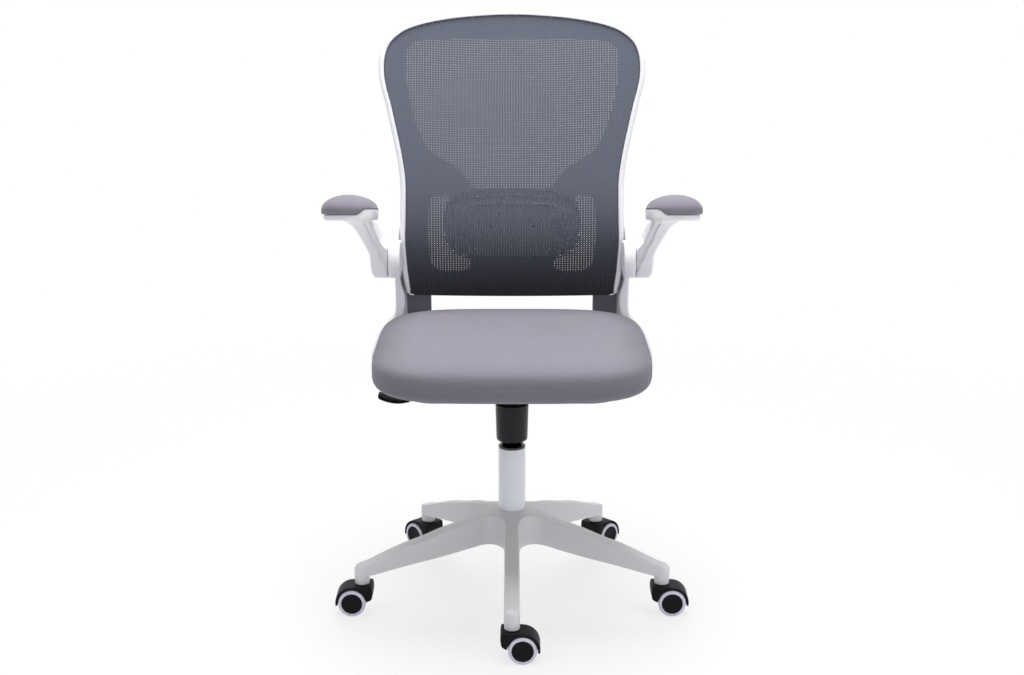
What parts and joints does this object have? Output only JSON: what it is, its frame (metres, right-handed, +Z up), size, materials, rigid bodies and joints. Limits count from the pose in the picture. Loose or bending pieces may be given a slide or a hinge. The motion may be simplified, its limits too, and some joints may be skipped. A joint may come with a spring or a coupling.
{
  "type": "swivel chair",
  "caption": "Height-adjustable swivel chair with a mesh back, lumbar support, padded flip-up arms, upholstered seat, gas lift and star base on casters.",
  "frame": {"origin": "point on the floor under the axis of the gas lift", "axes": "+Z up, -Y the way the sitter faces, +X to the sitter's left"},
  "size_m": [0.647, 0.6415, 1.0645],
  "materials": {
    "base_plastic": "satin moulded plastic, warm light grey",
    "white_plastic": "satin moulded plastic, white",
    "white_paint": "satin white powder coat",
    "black_plastic": "fine-grained black plastic",
    "gloss_black": "glossy black plastic",
    "tread": "soft pale tread",
    "steel": "bright steel",
    "black_steel": "black powder coat",
    "fabric": "warm grey woven upholstery",
    "board": "moulded plywood",
    "mesh": "blue-grey stretched mesh",
    "lumbar": "dark grey plastic"
  },
  "bodies": {
    "base": {"star_base": "base_plastic", "caster_stems": "steel", "lift_column": "white_paint", "lift_bushing": "gloss_black", "thrust_bearing": "steel"},
    "lift_spindle": {"lift_rod": "steel", "rod_clip": "steel"},
    "lift_head": {"lift_cylinder": "steel", "lift_cover": "black_plastic", "tilt_housing": "black_steel", "tilt_pin": "steel", "tension_spring": "steel"},
    "valve_button": {"lift_button": "steel"},
    "knob": {"tension_knob": "black_plastic", "tension_screw": "steel"},
    "nut": {"tension_nut": "steel"},
    "lever_slide": {"lever_bushing": "black_plastic"},
    "lever": {"lever_rod": "steel", "lever_paddle": "black_plastic"},
    "seat": {"seat_plate": "black_steel", "seat_board": "board", "seat_cushion": "fabric", "seat_bolts": "steel", "bracket_left": "white_plastic", "bracket_right": "white_plastic", "bracket_bolts": "steel", "back_shell": "white_plastic", "back_mesh": "mesh", "mesh_ring": "black_plastic", "back_screws": "steel", "arm_pins": "steel"},
    "lumbar": {"lumbar_pad": "lumbar", "lumbar_slider": "lumbar", "lumbar_screws": "steel"},
    "left_arm": {"arm_left": "white_plastic", "arm_pad_left": "fabric"},
    "right_arm": {"arm_right": "white_plastic", "arm_pad_right": "fabric"},
    "caster_1": {"caster_hood_1": "black_plastic"},
    "wheels_1": {"caster_axle_1": "steel", "caster_wheels_1": "black_plastic", "caster_treads_1": "tread"},
    "caster_2": {"caster_hood_2": "black_plastic"},
    "wheels_2": {"caster_axle_2": "steel", "caster_wheels_2": "black_plastic", "caster_treads_2": "tread"},
    "caster_3": {"caster_hood_3": "black_plastic"},
    "wheels_3": {"caster_axle_3": "steel", "caster_wheels_3": "black_plastic", "caster_treads_3": "tread"},
    "caster_4": {"caster_hood_4": "black_plastic"},
    "wheels_4": {"caster_axle_4": "steel", "caster_wheels_4": "black_plastic", "caster_treads_4": "tread"},
    "caster_5": {"caster_hood_5": "black_plastic"},
    "wheels_5": {"caster_axle_5": "steel", "caster_wheels_5": "black_plastic", "caster_treads_5": "tread"}
  },
  "joints": [
    {"name": "seat_swivel", "type": "hinge", "parent": "base", "child": "lift_spindle", "pos_m": [0, 0, 0.1], "axis": [0, 0, 1], "continuous": true},
    {"name": "seat_height", "type": "slide", "parent": "lift_spindle", "child": "lift_head", "axis": [0, 0, 1], "range_m": [-0.07, 0.02]},
    {"name": "seat_tilt", "type": "hinge", "parent": "lift_head", "child": "seat", "pos_m": [0, -0.03, 0.4], "axis": [-1, 0, 0], "range_deg": [0, 12], "stiffness_Nm_per_rad": 120, "springref_deg": -34.38, "deforming": ["tension_spring"]},
    {"name": "valve_press", "type": "slide", "parent": "lift_head", "child": "valve_button", "axis": [0, 0, -1], "range_m": [0, 0.0055], "stiffness_N_per_m": 400},
    {"name": "knob_turn", "type": "hinge", "parent": "lift_head", "child": "knob", "pos_m": [0, 0.068, 0.36], "axis": [0, 0, 1], "range_deg": [0, 1080]},
    {"name": "nut_travel", "type": "slide", "parent": "lift_head", "child": "nut", "axis": [0, 0, 1], "range_m": [0, 0.0046]},
    {"name": "tilt_lock", "type": "slide", "parent": "lift_head", "child": "lever_slide", "axis": [-1, 0, 0], "range_m": [0, 0.008]},
    {"name": "lever_lift", "type": "hinge", "parent": "lever_slide", "child": "lever", "pos_m": [-0.053, 0, 0.405], "axis": [0, 1, 0], "range_deg": [0, 5], "stiffness_Nm_per_rad": 3, "springref_deg": -5.73},
    {"name": "lumbar_height", "type": "slide", "parent": "seat", "child": "lumbar", "axis": [0, 0.0995, 0.995], "range_m": [-0.015, 0.015]},
    {"name": "left_arm_flip", "type": "hinge", "parent": "seat", "child": "left_arm", "pos_m": [0.248, 0.127, 0.614], "axis": [-1, 0, 0], "range_deg": [0, 90]},
    {"name": "right_arm_flip", "type": "hinge", "parent": "seat", "child": "right_arm", "pos_m": [-0.248, 0.127, 0.614], "axis": [-1, 0, 0], "range_deg": [0, 90]},
    {"name": "caster_swivel_1", "type": "hinge", "parent": "base", "child": "caster_1", "pos_m": [0, -0.287, 0.06], "axis": [0, 0, 1], "continuous": true},
    {"name": "wheel_spin_1", "type": "hinge", "parent": "caster_1", "child": "wheels_1", "pos_m": [0.018, -0.287, 0.025], "axis": [0, 1, 0], "continuous": true},
    {"name": "caster_swivel_2", "type": "hinge", "parent": "base", "child": "caster_2", "pos_m": [0.27295, -0.08869, 0.06], "axis": [0, 0, 1], "continuous": true},
    {"name": "wheel_spin_2", "type": "hinge", "parent": "caster_2", "child": "wheels_2", "pos_m": [0.29095, -0.08869, 0.025], "axis": [0, 1, 0], "continuous": true},
    {"name": "caster_swivel_3", "type": "hinge", "parent": "base", "child": "caster_3", "pos_m": [0.16869, 0.23219, 0.06], "axis": [0, 0, 1], "continuous": true},
    {"name": "wheel_spin_3", "type": "hinge", "parent": "caster_3", "child": "wheels_3", "pos_m": [0.18142, 0.24492, 0.025], "axis": [-0.7071, 0.7071, 0], "continuous": true},
    {"name": "caster_swivel_4", "type": "hinge", "parent": "base", "child": "caster_4", "pos_m": [-0.16869, 0.23219, 0.06], "axis": [0, 0, 1], "continuous": true},
    {"name": "wheel_spin_4", "type": "hinge", "parent": "caster_4", "child": "wheels_4", "pos_m": [-0.18142, 0.24492, 0.025], "axis": [-0.7071, -0.7071, 0], "continuous": true},
    {"name": "caster_swivel_5", "type": "hinge", "parent": "base", "child": "caster_5", "pos_m": [-0.27295, -0.08869, 0.06], "axis": [0, 0, 1], "continuous": true},
    {"name": "wheel_spin_5", "type": "hinge", "parent": "caster_5", "child": "wheels_5", "pos_m": [-0.29095, -0.08869, 0.025], "axis": [0, -1, 0], "continuous": true}
  ],
  "couplings": [
    {"joint": "valve_press", "follows": "lever_lift", "m_per_rad": 0.058},
    {"joint": "nut_travel", "follows": "knob_turn", "m_per_rad": 0.0002387}
  ]
}
